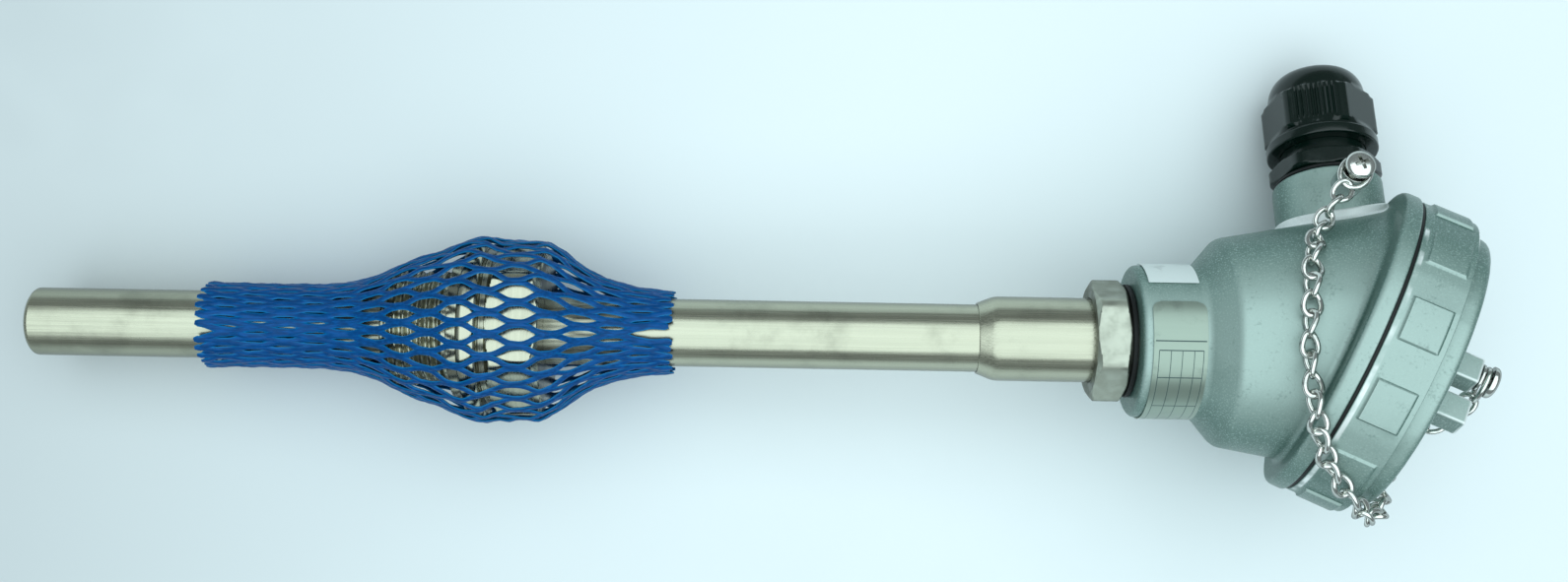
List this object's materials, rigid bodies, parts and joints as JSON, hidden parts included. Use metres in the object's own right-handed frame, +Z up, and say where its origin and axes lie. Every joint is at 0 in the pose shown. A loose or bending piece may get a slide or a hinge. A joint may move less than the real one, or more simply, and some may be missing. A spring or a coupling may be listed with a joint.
{
  "type": "resistance temperature detector",
  "caption": "Stick-type temperature sensor with a closed-end steel tube, threaded hex fitting under a protective net, and a painted connection head with screw cap, chain and cable gland.",
  "frame": {"origin": "centre of the bounding box on the surface that the part lies on", "axes": "+X along the tube from its tip to the head, +Z up from the surface, +Y towards the cable gland"},
  "size_m": [0.3446, 0.1098, 0.0771],
  "materials": {
    "brass": "nickelled brass, worn",
    "bright_steel": "bright nickel plate",
    "ceramic": "white steatite, fired",
    "copper": "tinned copper",
    "foil": "thin printed foil, satin",
    "net": "blue extruded netting, slightly clear",
    "nylon": "black moulded nylon, glossy",
    "paint": "satin, finely speckled sage grey-green",
    "paper": "plain white label film",
    "rubber": "black, matt",
    "steel": "drawn, lightly brushed",
    "zinc": "dull zinc plate"
  },
  "bodies": {
    "sensor": {"block_screw_1": "steel", "block_screw_2": "steel", "ceramic_insulator": "ceramic", "chain": "bright_steel", "gland_body": "nylon", "gland_gasket": "rubber", "head_body": "paint", "head_chain_screw": "bright_steel", "head_chain_washer": "bright_steel", "insert_flange": "steel", "insert_sheath": "steel", "lead_wire_1": "copper", "lead_wire_2": "copper", "lead_wire_3": "copper", "nameplate": "foil", "neck_gasket": "rubber", "neck_nut": "zinc", "neck_sleeve": "steel", "neck_sticker": "paper", "net_sleeve": "net", "process_fitting": "steel", "protection_tube": "steel", "sensor_element": "ceramic", "terminal_1": "brass", "terminal_2": "brass", "terminal_3": "brass", "terminal_block": "ceramic", "terminal_screw_1": "steel", "terminal_screw_2": "steel", "terminal_screw_3": "steel"},
    "cap_seal_ring": {"cap_seal": "rubber"},
    "cap": {"cap": "paint", "cap_chain_screw": "bright_steel", "cap_chain_washer": "bright_steel"},
    "gland_clamp": {"gland_claws": "nylon", "gland_seal": "rubber"},
    "gland_nut": {"gland_nut": "nylon"}
  },
  "joints": [
    {"name": "cap_lift", "type": "slide", "parent": "sensor", "child": "cap_seal_ring", "axis": [0.8901, -0.3925, 0.2317], "range_m": [0, 0.00805]},
    {"name": "cap_turn", "type": "hinge", "parent": "cap_seal_ring", "child": "cap", "pos_m": [0.13856, -0.01436, 0.03749], "axis": [0.8901, -0.3925, 0.2317], "range_deg": [0, 1440], "deforming": ["chain"]},
    {"name": "gland_lift", "type": "slide", "parent": "sensor", "child": "gland_clamp", "axis": [0.0288, 0.9218, -0.3865], "range_m": [0, 0.00455]},
    {"name": "gland_turn", "type": "hinge", "parent": "gland_clamp", "child": "gland_nut", "pos_m": [0.13777, -0.01436, 0.03744], "axis": [0.0288, 0.9218, -0.3865], "range_deg": [0, 1080]}
  ],
  "couplings": [
    {"joint": "cap_lift", "follows": "cap_turn", "m_per_rad": 0.00031831},
    {"joint": "gland_lift", "follows": "gland_turn", "m_per_rad": 0.00023873}
  ]
}
